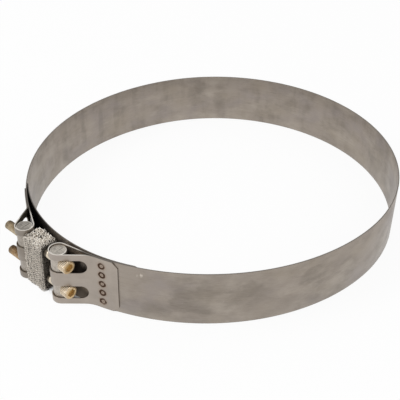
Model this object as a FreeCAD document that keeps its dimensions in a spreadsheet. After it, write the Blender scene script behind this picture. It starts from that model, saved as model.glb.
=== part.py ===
import FreeCAD, Part
import math
import os
from FreeCAD import Placement, Rotation, Vector

# Wide band clamp: a springy steel strap ring whose ends fold back round two trunnions,
# drawn together by two socket head screws through a knitted wire block.
# Frame: Z is the clamped tube's axis, z = 0 is the strap's lower edge, the screws run
# along X with their heads towards +X, and -Y points from the tube to the screws.
# Lengths are in millimetres and angles in degrees.

SIZES = [
    ("band_width", 50.8),
    ("band_thickness", 0.9),
    ("bore_radius", 158.0),
    ("back_half_angle", 76.2),
    ("ring_lean", 10.6),
    ("pin_standoff", 37.0),
    ("plain_pin_x", -0.9),
    ("pin_spacing", 44.1),
    ("pin_radius", 7.1),
    ("pin_length", 48.8),
    ("pin_chamfer", 0.6),
    ("loop_clearance", 0.1),
    ("left_leg_angle", 27.6),
    ("right_leg_angle", 12.8),
    ("left_fold_angle", 62.0),
    ("right_fold_angle", 44.7),
    ("left_bend_radius", 8.0),
    ("right_bend_radius", 24.0),
    ("fold_gap", 0.1),
    ("left_fold_length", 77.0),
    ("right_fold_length", 68.0),
    ("tab_chamfer", 5.0),
    ("slot_height", 12.7),
    ("slot_length", 41.0),
    ("weld_count", 5),
    ("weld_pitch", 9.2),
    ("weld_radius", 1.8),
    ("weld_inset", 14.2),
    ("tongue_thickness", 0.9),
    ("tongue_gap", 0.1),
    ("tongue_touch_angle", 40.2),
    ("tongue_leave_angle", 27.0),
    ("tongue_overlap", 5.0),
    ("tongue_corner", 4.0),
    ("screw_pitch", 26.4),
    ("shank_radius", 3.97),
    ("screw_length", 73.0),
    ("tail_chamfer", 1.0),
    ("head_radius", 5.95),
    ("head_height", 7.94),
    ("head_chamfer", 0.7),
    ("socket_flats", 6.35),
    ("socket_depth", 3.9),
    ("seat_offset", 5.0),
    ("spotface_margin", 0.4),
    ("thread_clearance", 0.05),
    ("plain_hole_clearance", 0.4),
    ("block_front", 7.4),
    ("block_gap", 7.0),
    ("block_height", 47.4),
    ("block_clearance", 0.3),
    ("block_edge_round", 2.4),
    ("block_top_round", 4.0),
]


# The document and its sheet of driving sizes

doc = FreeCAD.newDocument("wide_band_clamp")
sheet = doc.addObject("Spreadsheet::Sheet", "Sizes")
for row, (alias, value) in enumerate(SIZES, start=1):
    sheet.set("A%d" % row, alias)
    sheet.set("B%d" % row, str(value))
    sheet.setAlias("B%d" % row, alias)
doc.recompute()


def size(alias):
    return float(sheet.get(alias))


# Plan geometry: points are (x, y), and angles are measured from -Y towards +X

def outward(angle):
    turn = math.radians(angle)
    return (math.sin(turn), -math.cos(turn))


def add(point, direction, reach):
    return (point[0] + direction[0] * reach, point[1] + direction[1] * reach)


def minus(end, start):
    return (end[0] - start[0], end[1] - start[1])


def dot(first, second):
    return first[0] * second[0] + first[1] * second[1]


def unit(vector):
    reach = math.hypot(*vector)
    return (vector[0] / reach, vector[1] / reach)


def bearing(vector):
    return math.atan2(vector[1], vector[0])


class Run:
    """A straight stretch of strap."""

    def __init__(self, start, end):
        self.start, self.end = start, end
        self.length = math.dist(start, end)

    def at(self, reach):
        heading = unit(minus(self.end, self.start))
        return add(self.start, heading, reach), heading

    def trimmed(self, first, last):
        return Run(self.at(first)[0], self.at(last)[0])

    def edge(self, offset):
        heading = unit(minus(self.end, self.start))
        left = (-heading[1], heading[0])
        first, last = add(self.start, left, offset), add(self.end, left, offset)
        return first, last, Part.LineSegment(Vector(*first, 0), Vector(*last, 0))


class Bend:
    """A round stretch of strap; turn is positive where it goes anticlockwise."""

    def __init__(self, centre, radius, begin, turn):
        self.centre, self.radius, self.begin, self.turn = centre, radius, begin, turn
        self.length = radius * abs(turn)

    def spot(self, radius, share):
        angle = self.begin + self.turn * share
        return (self.centre[0] + radius * math.cos(angle), self.centre[1] + radius * math.sin(angle))

    def at(self, reach):
        share = reach / self.length
        angle = self.begin + self.turn * share
        way = 1 if self.turn > 0 else -1
        return self.spot(self.radius, share), (-way * math.sin(angle), way * math.cos(angle))

    def trimmed(self, first, last):
        step = self.turn / self.length
        return Bend(self.centre, self.radius, self.begin + step * first, step * (last - first))

    def edge(self, offset):
        way = 1 if self.turn > 0 else -1
        radius = self.radius - way * offset
        first, middle, last = (self.spot(radius, share) for share in (0, 0.5, 1))
        return first, last, Part.Arc(Vector(*first, 0), Vector(*middle, 0), Vector(*last, 0))


def bend_between(centre, radius, start, end, anticlockwise):
    begin = bearing(minus(start, centre))
    turn = bearing(minus(end, centre)) - begin
    if anticlockwise:
        turn %= 2 * math.pi
    else:
        turn = turn % (2 * math.pi) - 2 * math.pi
    return Bend(centre, radius, begin, turn)


def point_along(path, reach):
    for stretch in path:
        if reach <= stretch.length:
            return stretch.at(reach)
        reach -= stretch.length
    return path[-1].at(path[-1].length + reach)


def path_between(path, first, last):
    kept = []
    passed = 0
    for stretch in path:
        low = max(first - passed, 0)
        high = min(last - passed, stretch.length)
        if high - low > 1e-6:
            kept.append(stretch.trimmed(low, high))
        passed += stretch.length
    return kept


def strip_outline(path, half):
    """The closed outline of a strip that runs half to each side of the path."""
    there = [stretch.edge(half) for stretch in path]
    back = [stretch.edge(-half) for stretch in reversed(path)]
    far_cap = Part.LineSegment(Vector(*there[-1][1], 0), Vector(*back[0][1], 0))
    near_cap = Part.LineSegment(Vector(*back[-1][0], 0), Vector(*there[0][0], 0))
    curves = [edge[2] for edge in there] + [far_cap]
    return curves + [edge[2] for edge in back] + [near_cap]


# Document objects

def sketch_of(name, curves):
    sketch = doc.addObject("Sketcher::SketchObject", name)
    sketch.addGeometry(curves, False)
    return sketch


def raised(name, curves, height, base="0 mm"):
    """A plan outline raised by a height expression from a base expression."""
    item = doc.addObject("Part::Extrusion", name)
    item.Base = sketch_of(name + "_plan", curves)
    item.DirMode = "Custom"
    item.Dir = Vector(0, 0, 1)
    item.Solid = True
    item.setExpression("LengthFwd", height)
    item.setExpression("Placement.Base.z", base)
    return item


def primitive(kind, name, sizes, turn=Rotation(), place=None):
    """A Part primitive with sizes and place given as expressions of the sheet."""
    item = doc.addObject("Part::" + kind, name)
    item.Placement = Placement(Vector(), turn)
    for prop, expression in sizes.items():
        item.setExpression(prop, expression)
    for axis, expression in (place or {}).items():
        item.setExpression("Placement.Base." + axis, expression)
    return item


def joined(name, pieces, refine=True):
    item = doc.addObject("Part::MultiFuse", name)
    item.Shapes = pieces
    item.Refine = refine
    return item


def cut(name, base, tool):
    item = doc.addObject("Part::Cut", name)
    item.Base = base
    item.Tool = tool
    return item


ALONG_X = Rotation(Vector(0, 1, 0), 90)
PIN_Y = "-(Sizes.bore_radius + Sizes.pin_standoff)"
PIN_X = {"left": "Sizes.plain_pin_x - Sizes.pin_spacing", "right": "Sizes.plain_pin_x"}
SCREW_Z = {
    "lower": "(Sizes.band_width - Sizes.screw_pitch) / 2",
    "upper": "(Sizes.band_width + Sizes.screw_pitch) / 2",
}


# The strap's course in plan

thickness = size("band_thickness")
back_radius = size("bore_radius") + thickness / 2
loop_radius = size("pin_radius") + size("loop_clearance") + thickness / 2
pin_y = -(size("bore_radius") + size("pin_standoff"))
pin_place = {
    "left": (size("plain_pin_x") - size("pin_spacing"), pin_y),
    "right": (size("plain_pin_x"), pin_y),
}
ORIGIN = (0.0, 0.0)


class Side:
    """One half of the strap, from the back arc to the end of its folded tab."""

    def __init__(self, side):
        self.name = side
        self.way = 1 if side == "right" else -1
        self.pin = pin_place[side]
        half_front = 180 - size("back_half_angle")
        self.back_end = outward(self.way * half_front - size("ring_lean"))
        self.leg_normal = outward(self.way * size(side + "_leg_angle"))
        self.set_flank()
        self.set_fold(size(side + "_fold_angle"), size(side + "_bend_radius"))

    def set_flank(self):
        """The flank arc runs on from the back arc and ends along the straight inner leg."""
        facing = dot(self.leg_normal, self.back_end)
        line_reach = dot(self.leg_normal, self.pin) - loop_radius
        self.flank_radius = (line_reach - back_radius * facing) / (1 - facing)
        self.flank_centre = add(ORIGIN, self.back_end, back_radius - self.flank_radius)
        self.leg_start = add(self.flank_centre, self.leg_normal, self.flank_radius)
        self.leg_end = add(self.pin, self.leg_normal, -loop_radius)

    def set_fold(self, fold_angle, bend_radius):
        """The fold goes round the trunnion and down the outer leg onto the strap's outside."""
        turn = math.radians(fold_angle)
        heading = (self.way * math.cos(turn), math.sin(turn))
        normal = (self.way * math.sin(turn), -math.cos(turn))
        tab_radius = self.flank_radius + thickness + size("fold_gap")
        foot = add(self.pin, normal, loop_radius + bend_radius)
        offset = minus(foot, self.flank_centre)
        half_b = dot(offset, heading)
        rest = dot(offset, offset) - (tab_radius + bend_radius) ** 2
        run = -half_b - math.sqrt(half_b ** 2 - rest)
        bend_centre = add(foot, heading, run)
        loop_out = add(self.pin, normal, loop_radius)
        bend_in = add(loop_out, heading, run)
        to_bend = unit(minus(bend_centre, self.flank_centre))
        bend_out = add(self.flank_centre, to_bend, tab_radius)
        right = self.way > 0
        loop = bend_between(self.pin, loop_radius, self.leg_end, loop_out, right)
        bend = bend_between(bend_centre, bend_radius, bend_in, bend_out, not right)
        nose = add(self.pin, (-self.way, 0), loop_radius)
        self.nose_reach = bend_between(self.pin, loop_radius, self.leg_end, nose, right).length
        fold_end = self.nose_reach + size(self.name + "_fold_length")
        laid = fold_end - loop.length - run - bend.length
        begin = bearing(to_bend)
        tab = Bend(self.flank_centre, tab_radius, begin, self.way * laid / tab_radius)
        self.fold = [loop, Run(loop_out, bend_in), bend, tab]
        self.fold_end = fold_end


left = Side("left")
right = Side("right")


def ring_path():
    """From the left trunnion round the back to the right trunnion, clockwise."""
    left_back = add(ORIGIN, left.back_end, back_radius)
    right_back = add(ORIGIN, right.back_end, back_radius)
    return [
        Run(left.leg_end, left.leg_start),
        bend_between(left.flank_centre, left.flank_radius, left.leg_start, left_back, False),
        bend_between(ORIGIN, back_radius, left_back, right_back, False),
        bend_between(right.flank_centre, right.flank_radius, right_back, right.leg_start, False),
        Run(right.leg_start, right.leg_end),
    ]


# Strap: one strip with both ends folded back round the trunnions

def turned_to(heading):
    """The turn that lays a primitive's Z along a plan direction."""
    return Rotation(Vector(0, 0, 1), Vector(heading[0], heading[1], 0))


def slot_tool(side, level):
    """A slot from the nose, where the screw goes through, round the loop and up the outer leg."""
    name = "%s_%s_slot" % (side.name, level)
    half = size("slot_height") / 2
    round_reach = side.nose_reach + size("slot_length") - half
    clear = thickness + size("pin_chamfer")
    stretch = path_between(side.fold, side.nose_reach, round_reach)
    base = "%s - Sizes.slot_height / 2" % SCREW_Z[level]
    straight = raised(name + "_run", strip_outline(stretch, clear), "Sizes.slot_height", base)
    spot, heading = point_along(side.fold, round_reach)
    normal = (heading[1] * side.way, -heading[0] * side.way)
    end = primitive("Cylinder", name + "_end", {"Radius": "Sizes.slot_height / 2"}, turned_to(normal))
    end.setExpression("Height", "4 * Sizes.band_thickness")
    start = add(spot, normal, -2 * thickness)
    end.Placement.Base = Vector(*start, 0)
    end.setExpression("Placement.Base.z", SCREW_Z[level])
    nose_sizes = {"Radius": "Sizes.slot_height / 2", "Height": "2 * Sizes.pin_radius"}
    nose_turn = Rotation(Vector(0, 1, 0), -90 * side.way)
    nose_place = {"x": PIN_X[side.name], "y": PIN_Y, "z": SCREW_Z[level]}
    nose = primitive("Cylinder", name + "_nose", nose_sizes, nose_turn, nose_place)
    return joined(name, [straight, end, nose], refine=False)


def corner_tool(side, edge):
    """The chamfer that takes off one corner of the folded tab's end."""
    spot, heading = point_along(side.fold, side.fold_end)
    reach = size("tab_chamfer")
    normal = (heading[1] * side.way, -heading[0] * side.way)
    level = 0 if edge == "bottom" else size("band_width")
    way = 1 if edge == "bottom" else -1
    start = add(spot, normal, -2 * thickness)
    over = 1.0
    corners = [
        (add(start, heading, over), level - way * over),
        (add(start, heading, -reach - over), level - way * over),
        (add(start, heading, over), level + way * (reach + over)),
    ]
    loop = Part.makePolygon([Vector(*plan, height) for plan, height in corners + corners[:1]])
    solid = Part.Face(loop).extrude(Vector(*normal, 0) * 4 * thickness)
    tool = doc.addObject("Part::Feature", "%s_%s_corner" % (side.name, edge))
    tool.Shape = solid
    return tool


def folded_end(side):
    path = path_between(side.fold, 0, side.fold_end)
    strip = raised(side.name + "_fold_strip", strip_outline(path, thickness / 2), "Sizes.band_width")
    tools = [slot_tool(side, level) for level in SCREW_Z]
    tools += [corner_tool(side, edge) for edge in ("bottom", "top")]
    return cut(side.name + "_fold", strip, joined(side.name + "_fold_tools", tools, refine=False))


def spot_welds(side, inner_layers):
    """A column of weld nuggets that joins the tab to the strap under it."""
    spot, heading = point_along(side.fold, side.fold_end - size("weld_inset"))
    normal = (heading[1] * side.way, -heading[0] * side.way)
    count = int(size("weld_count"))
    depth = size("fold_gap") + thickness + inner_layers
    start = add(spot, normal, -thickness / 2 - depth)
    nuggets = []
    for index in range(count):
        name = "%s_weld_%d" % (side.name, index + 1)
        nugget = primitive("Cylinder", name, {"Radius": "Sizes.weld_radius"}, turned_to(normal))
        nugget.Height = depth + thickness / 2
        nugget.Placement.Base = Vector(*start, 0)
        step = "Sizes.band_width / 2 + %d * Sizes.weld_pitch - %d * Sizes.weld_pitch / 2"
        nugget.setExpression("Placement.Base.z", step % (index, count - 1))
        nuggets.append(nugget)
    return nuggets


def make_band():
    ring = raised("ring_strip", strip_outline(ring_path(), thickness / 2), "Sizes.band_width")
    pieces = [ring, folded_end(left), folded_end(right)]
    pieces += spot_welds(left, 0) + spot_welds(right, size("tongue_gap"))
    return joined("band", pieces)


# Tongue: the curved strip that bridges the gap under the screws

def tongue_path():
    """It lies along the strap under the right tab, then springs across to the left leg."""
    inset = (thickness + size("tongue_thickness")) / 2 + size("tongue_gap")
    right_line = right.flank_radius - inset
    left_line = left.flank_radius - inset
    leave_normal = outward(size("tongue_leave_angle"))
    leave = add(right.flank_centre, leave_normal, right_line)
    touch = add(left.flank_centre, outward(-size("tongue_touch_angle")), left_line)
    chord = minus(touch, leave)
    radius = -dot(chord, chord) / (2 * dot(chord, leave_normal))
    centre = add(leave, leave_normal, -radius)
    lap = size("tongue_overlap") / right_line
    begin = bearing(leave_normal) + lap
    return [
        Bend(right.flank_centre, right_line, begin, -lap),
        bend_between(centre, radius, leave, touch, False),
    ]


def make_tongue():
    path = tongue_path()
    strip = raised("tongue_strip", strip_outline(path, size("tongue_thickness") / 2), "Sizes.band_width")
    tools = []
    for end, reach, way in (("left", path[0].length + path[1].length, 1), ("right", 0, -1)):
        spot, heading = point_along(path, reach)
        along = Vector(heading[0] * way, heading[1] * way, 0)
        side = Vector(-heading[1], heading[0], 0)
        for edge, level in (("bottom", 0), ("top", size("band_width"))):
            inward = Vector(0, 0, 1 if edge == "bottom" else -1)
            name = "tongue_%s_%s" % (end, edge)
            tools.append(rounded_corner(name, Vector(*spot, level), along, inward, side))
    return cut("tongue", strip, joined("tongue_corners", tools, refine=False))


def rounded_corner(name, corner, along, inward, side):
    """What is taken off to round a strip's corner; it reaches through the strip's thickness."""
    radius = size("tongue_corner")
    over = 1.0
    depth = size("tongue_thickness") * 4
    middle = corner - along * radius + inward * radius
    start = corner - along * radius
    end = corner + inward * radius
    half_turn = middle + (along - inward) * (radius * math.sqrt(0.5))
    arc = Part.Arc(start, half_turn, end).toShape()
    outer = [end, end + along * over, corner + along * over - inward * over, start - inward * over, start]
    wire = Part.Wire([arc] + Part.makePolygon(outer).Edges)
    tool = doc.addObject("Part::Feature", name + "_corner")
    tool.Shape = Part.Face(wire).extrude(side * depth)
    tool.Placement = Placement(side * (-depth / 2), Rotation())
    return tool


# Trunnions: chamfered pins cross-drilled for the screws

def pin_blank(side):
    """The plain pin with a chamfer at each end, standing midway in the strap's width."""
    low = "(Sizes.band_width - Sizes.pin_length) / 2"
    straight = {"Radius": "Sizes.pin_radius", "Height": "Sizes.pin_length - 2 * Sizes.pin_chamfer"}
    slope = {"Height": "Sizes.pin_chamfer"}
    small, large = "Sizes.pin_radius - Sizes.pin_chamfer", "Sizes.pin_radius"
    place = {"x": PIN_X[side], "y": PIN_Y}
    barrel = primitive("Cylinder", side + "_pin_barrel", straight)
    foot = primitive("Cone", side + "_pin_foot", dict(slope, Radius1=small, Radius2=large))
    top = primitive("Cone", side + "_pin_top", dict(slope, Radius1=large, Radius2=small))
    levels = (
        (foot, low),
        (barrel, low + " + Sizes.pin_chamfer"),
        (top, low + " + Sizes.pin_length - Sizes.pin_chamfer"),
    )
    for item, level in levels:
        for axis, expression in dict(place, z=level).items():
            item.setExpression("Placement.Base." + axis, expression)
    return joined(side + "_pin_blank", [foot, barrel, top])


def drilled_pin(name, side, clearance, seated):
    """A pin with both screw holes, and a flat seat for each head where seated."""
    tools = []
    for level, height in SCREW_Z.items():
        hole = {"Radius": "Sizes.shank_radius + Sizes." + clearance, "Height": "4 * Sizes.pin_radius"}
        start = {"x": PIN_X[side] + " - 2 * Sizes.pin_radius", "y": PIN_Y, "z": height}
        tools.append(primitive("Cylinder", "%s_%s_hole" % (side, level), hole, ALONG_X, start))
        if seated:
            face = {"Radius": "Sizes.head_radius + Sizes.spotface_margin", "Height": "Sizes.pin_radius"}
            seat = {"x": PIN_X[side] + " + Sizes.seat_offset", "y": PIN_Y, "z": height}
            tools.append(primitive("Cylinder", "%s_%s_spotface" % (side, level), face, ALONG_X, seat))
    return cut(name, pin_blank(side), joined(name + "_holes", tools, refine=False))


# Screws: socket head cap screws, their threads left plain

def make_screw(level):
    name = "screw_" + level
    seat = PIN_X["right"] + " + Sizes.seat_offset"
    tail = seat + " - Sizes.screw_length"
    small_head = "Sizes.head_radius - Sizes.head_chamfer"
    stages = {
        "tip": ("Cone", tail, {
            "Radius1": "Sizes.shank_radius - Sizes.tail_chamfer",
            "Radius2": "Sizes.shank_radius",
            "Height": "Sizes.tail_chamfer",
        }),
        "shank": ("Cylinder", tail + " + Sizes.tail_chamfer", {
            "Radius": "Sizes.shank_radius",
            "Height": "Sizes.screw_length - Sizes.tail_chamfer",
        }),
        "head": ("Cylinder", seat, {
            "Radius": "Sizes.head_radius",
            "Height": "Sizes.head_height - Sizes.head_chamfer",
        }),
        "crown": ("Cone", seat + " + Sizes.head_height - Sizes.head_chamfer", {
            "Radius1": "Sizes.head_radius",
            "Radius2": small_head,
            "Height": "Sizes.head_chamfer",
        }),
    }
    pieces = []
    for stage, (kind, start, sizes) in stages.items():
        place = {"x": start, "y": PIN_Y, "z": SCREW_Z[level]}
        pieces.append(primitive(kind, "%s_%s" % (name, stage), sizes, ALONG_X, place))
    socket = primitive("Prism", name + "_socket", {
        "Circumradius": "Sizes.socket_flats / 2 / cos(30)",
        "Height": "Sizes.socket_depth + Sizes.head_chamfer",
    }, ALONG_X, {
        "x": seat + " + Sizes.head_height - Sizes.socket_depth",
        "y": PIN_Y,
        "z": SCREW_Z[level],
    })
    socket.Polygon = 6
    return cut(name, joined(name + "_blank", pieces), socket)


# Knitted wire block: fills the space between the loops, hugs the left one and backs on the tongue

class BlockPlan:
    """Where the block's upright faces stand."""

    def __init__(self):
        clear = size("block_clearance")
        crown = tongue_path()[1]
        self.front = pin_y - size("block_front")
        self.back = crown.centre[1] - crown.radius - size("tongue_thickness") / 2 - clear
        self.right = right.pin[0] - loop_radius - thickness / 2 - size("block_gap")
        self.hug = loop_radius + thickness / 2 + clear
        self.nose = left.pin[0] + self.hug
        self.front_left = left.pin[0] + math.sqrt(self.hug ** 2 - size("block_front") ** 2)

    def outline(self):
        begin, nose = (self.front_left, self.front), (self.nose, pin_y)
        corners = [nose, (self.nose, self.back), (self.right, self.back), (self.right, self.front), begin]
        sides = [Run(low, high).edge(0)[2] for low, high in zip(corners, corners[1:])]
        return [bend_between(left.pin, self.hug, begin, nose, True).edge(0)[2]] + sides


def make_block():
    plan = BlockPlan()
    blank = raised("block_blank", plan.outline(), "Sizes.block_height")
    doc.recompute()

    def lies_at(low, high, level):
        return abs(low - level) < 1e-6 and abs(high - level) < 1e-6

    soft = doc.addObject("Part::Fillet", "block_soft")
    soft.Base = blank
    rounds = []
    for index, edge in enumerate(blank.Shape.Edges, start=1):
        box = edge.BoundBox
        at_front = lies_at(box.YMin, box.YMax, plan.front)
        at_back = lies_at(box.YMin, box.YMax, plan.back)
        at_right = lies_at(box.XMin, box.XMax, plan.right)
        at_top = lies_at(box.ZMin, box.ZMax, size("block_height"))
        at_foot = lies_at(box.ZMin, box.ZMax, 0)
        if at_top and (at_front or at_back):
            rounds.append((index, size("block_top_round"), size("block_top_round")))
        elif (at_top and at_right) or (at_front and at_right) or (at_foot and at_front):
            rounds.append((index, size("block_edge_round"), size("block_edge_round")))
    soft.Edges = rounds
    sleeves = []
    for level, height in SCREW_Z.items():
        bore = {"Radius": "Sizes.shank_radius + Sizes.block_clearance", "Height": "Sizes.pin_spacing"}
        start = {"x": PIN_X["left"], "y": PIN_Y, "z": height}
        sleeves.append(primitive("Cylinder", "block_%s_sleeve" % level, bore, ALONG_X, start))
    return cut("mesh_block", soft, joined("block_sleeves", sleeves, refine=False))


# The seven pieces

parts = {
    "band": make_band(),
    "tongue": make_tongue(),
    "trunnion_tapped": drilled_pin("trunnion_tapped", "left", "thread_clearance", False),
    "trunnion_plain": drilled_pin("trunnion_plain", "right", "plain_hole_clearance", True),
    "screw_upper": make_screw("upper"),
    "screw_lower": make_screw("lower"),
    "mesh_block": make_block(),
}
doc.recompute()

for item in doc.Objects:
    if "Invalid" in item.State or "Error" in item.State:
        raise RuntimeError("%s failed: %s" % (item.Name, item.State))
os.makedirs("parts", exist_ok=True)
for name, item in parts.items():
    item.Label = name
    shape = item.Shape
    if shape.isNull() or not shape.isValid() or len(shape.Solids) != 1:
        raise RuntimeError("%s isn't one valid solid" % name)
    shape.exportStep("parts/%s.step" % name)
    print(name, round(shape.Volume, 1), shape.BoundBox)
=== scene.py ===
import math
import random

import bpy
from mathutils import Matrix, Vector, noise


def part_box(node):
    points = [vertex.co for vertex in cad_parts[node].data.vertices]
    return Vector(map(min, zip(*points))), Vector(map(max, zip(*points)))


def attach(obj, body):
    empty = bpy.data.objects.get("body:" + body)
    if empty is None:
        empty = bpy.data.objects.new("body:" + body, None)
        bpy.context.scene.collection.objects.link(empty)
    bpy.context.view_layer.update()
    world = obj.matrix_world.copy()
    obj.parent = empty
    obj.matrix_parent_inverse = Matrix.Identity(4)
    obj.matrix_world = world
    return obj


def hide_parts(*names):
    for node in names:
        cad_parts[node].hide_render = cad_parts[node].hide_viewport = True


bl_info = {
    "name": "Wide Band Clamp",
    "version": (1, 0, 0),
    "blender": (4, 5, 0),
    "location": "3D View > Sidebar > Clamp",
    "description": "Dresses a wide steel band clamp: strap, tongue, trunnions, screws and knitted wire block",
    "category": "Add Mesh",
}

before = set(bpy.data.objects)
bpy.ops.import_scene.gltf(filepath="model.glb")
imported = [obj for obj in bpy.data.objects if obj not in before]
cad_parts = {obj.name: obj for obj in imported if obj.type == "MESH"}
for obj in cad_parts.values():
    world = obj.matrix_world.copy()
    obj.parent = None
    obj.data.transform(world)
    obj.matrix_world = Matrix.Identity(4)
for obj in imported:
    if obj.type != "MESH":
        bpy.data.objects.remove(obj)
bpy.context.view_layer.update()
MM = 0.001
UP = Vector((0, 0, 1))
SLIVER = 0.01 * MM


# Sizes and colours that a user would change

def length(name, description, millimetres):
    return bpy.props.FloatProperty(
        name=name, description=description, default=millimetres * MM, unit="LENGTH", precision=5
    )


def turn(name, description, degrees):
    return bpy.props.FloatProperty(
        name=name, description=description, default=math.radians(degrees), subtype="ANGLE"
    )


def colour(name, description, value):
    return bpy.props.FloatVectorProperty(
        name=name, description=description, default=value, subtype="COLOR", min=0, max=1
    )


def number(name, description, value):
    return bpy.props.IntProperty(name=name, description=description, default=value, min=1)


class ClampStrapSizes(bpy.types.PropertyGroup):
    """The strap's course and its folded ends"""

    thickness: length("Thickness", "Thickness of the strap", 0.9)
    bore_radius: length("Bore radius", "Inner radius of the back arc", 158.0)
    back_half_angle: turn("Back half angle", "Half of the angle that the back arc covers", 76.2)
    ring_lean: turn("Lean", "Turn of the back arc about the tube's axis", 10.6)
    loop_clearance: length("Loop clearance", "Gap between a loop and its trunnion", 0.1)
    left_leg: turn("Left leg", "Direction that the left inner leg faces", 27.6)
    right_leg: turn("Right leg", "Direction that the right inner leg faces", 12.8)
    left_fold: turn("Left fold", "Slope of the left outer leg", 62.0)
    right_fold: turn("Right fold", "Slope of the right outer leg", 44.7)
    left_bend: length("Left bend", "Radius where the left outer leg meets the strap", 8.0)
    right_bend: length("Right bend", "Radius where the right outer leg meets the strap", 24.0)
    fold_gap: length("Fold gap", "Gap between the tab and the strap under it", 0.1)
    left_fold_length: length("Left fold length", "From the left loop's nose to the tab's end", 77.0)
    right_fold_length: length("Right fold length", "From the right loop's nose to the tab's end", 68.0)
    tab_chamfer: length("Tab chamfer", "Corner taken off the tab's end", 5.0)
    slot_height: length("Slot height", "Height of each screw slot", 12.7)
    slot_length: length("Slot length", "From the loop's nose to the slot's end", 41.0)
    weld_pitch: length("Weld pitch", "Distance between spot welds", 9.2)
    weld_inset: length("Weld inset", "From the tab's end to the welds", 14.2)
    weld_radius: length("Weld radius", "Radius of the dish left by a spot weld", 2.3)
    weld_depth: length("Weld depth", "Depth of the dish left by a spot weld", 0.14)
    edge_round: length("Edge round", "Rounding of the sheared edges", 0.13)


class ClampTongueSizes(bpy.types.PropertyGroup):
    """The inner strip that bridges the gap under the screws"""

    thickness: length("Thickness", "Thickness of the tongue", 0.9)
    gap: length("Gap", "Gap between the tongue and the strap it lies on", 0.1)
    touch_angle: turn("Touch angle", "Where its left end meets the strap", 40.2)
    leave_angle: turn("Leave angle", "Where it springs away from the strap", 27.0)
    overlap: length("Overlap", "Length that lies on the strap at the right end", 5.0)
    corner: length("Corner", "Radius of its corners", 4.0)


class ClampFastenerSizes(bpy.types.PropertyGroup):
    """Trunnions and socket head screws"""

    pin_chamfer: length("Pin edge", "Rounding of the trunnions' ends", 0.6)
    pin_play: length("Pin play", "How much slimmer a trunnion is than its loop allows", 0.25)
    shank_radius: length("Shank radius", "Radius of the screws' shanks", 3.97)
    head_radius: length("Head radius", "Radius of the screws' heads", 5.95)
    head_height: length("Head height", "Height of the screws' heads", 7.94)
    head_edge: length("Head edge", "Rounding of the heads' rims", 0.7)
    socket_flats: length("Socket flats", "Width across the hex socket's flats", 6.35)
    socket_depth: length("Socket depth", "Depth of the hex socket", 3.9)
    thread_pitch: length("Thread pitch", "Pitch of the screws' threads", 1.41)
    thread_length: length("Thread length", "Threaded length from the tip", 30.0)
    thread_depth: length("Thread depth", "Depth of the screws' threads", 0.8)
    knurl_count: number("Knurl count", "Ridges round a screw's head", 30)
    knurl_depth: length("Knurl depth", "Depth of the grooves between the ridges", 0.42)
    seat_offset: length("Seat offset", "From the right trunnion's axis to the heads' seats", 5.0)
    spotface_margin: length("Spot face margin", "Room round a head on its seat", 0.4)
    hole_clearance: length("Hole clearance", "Room round a shank in the right trunnion", 0.4)


class ClampWireSizes(bpy.types.PropertyGroup):
    """The knitted wire block"""

    wire_radius: length("Wire radius", "Radius of the knitted wire", 0.25)
    course_pitch: length("Course pitch", "Distance between rows of stitches", 2.1)
    stitch_width: length("Stitch width", "Width of one stitch", 3.1)
    stitch_height: length("Stitch height", "Height of one stitch, which reaches over its neighbours", 3.4)
    crinkle: length("Crinkle", "How far the pressed wire strays", 0.62)


class ClampColours(bpy.types.PropertyGroup):
    """Colours of the metals"""

    strap: colour("Strap", "Stained stainless strip", (0.318, 0.272, 0.232))
    stain: colour("Stain", "Darker stains on the strip", (0.212, 0.180, 0.150))
    bloom: colour("Bloom", "Pale bloom on the strip", (0.410, 0.358, 0.305))
    khaki: colour("Khaki", "Warm cast in places on the strip", (0.315, 0.266, 0.208))
    mauve: colour("Mauve", "Cool cast in places on the strip", (0.275, 0.240, 0.232))
    scorch: colour("Scorch", "Rings round the spot welds", (0.075, 0.042, 0.025))
    trunnion: colour("Trunnion", "Turned steel", (0.400, 0.368, 0.320))
    zinc: colour("Zinc", "Yellow zinc plate", (0.680, 0.515, 0.300))
    zinc_brown: colour("Brown zinc", "Darker places on the plate", (0.450, 0.265, 0.105))
    zinc_worn: colour("Worn zinc", "Pale places on the plate", (0.860, 0.780, 0.630))
    wire: colour("Wire", "Knitted stainless wire", (0.820, 0.755, 0.670))
    backdrop: colour("Backdrop", "Floor", (0.900, 0.900, 0.900))


GROUPS = {
    "clamp_strap": ClampStrapSizes,
    "clamp_tongue": ClampTongueSizes,
    "clamp_fastener": ClampFastenerSizes,
    "clamp_wire": ClampWireSizes,
    "clamp_colours": ClampColours,
}


# Plan geometry: flat points (x, y), with angles measured from -Y towards +X

def outward(angle):
    return Vector((math.sin(angle), -math.cos(angle)))


def bearing(vector):
    return math.atan2(vector.y, vector.x)


def cross(first, second):
    return first.x * second.y - first.y * second.x


class Run:
    """A straight stretch of strip."""

    def __init__(self, start, end):
        self.start, self.end = start, end
        self.length = (end - start).length

    def at(self, reach):
        heading = (self.end - self.start).normalized()
        return self.start + heading * reach, heading

    def trimmed(self, first, last):
        return Run(self.at(first)[0], self.at(last)[0])

    def backwards(self):
        return Run(self.end, self.start)

    def nearest(self, point):
        heading = (self.end - self.start).normalized()
        reach = min(max((point - self.start).dot(heading), 0), self.length)
        return reach, cross(heading, point - self.at(reach)[0])

    def lay(self):
        move = (self.end - self.start).to_3d()
        bpy.ops.mesh.extrude_region_move(TRANSFORM_OT_translate={"value": move})


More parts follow.
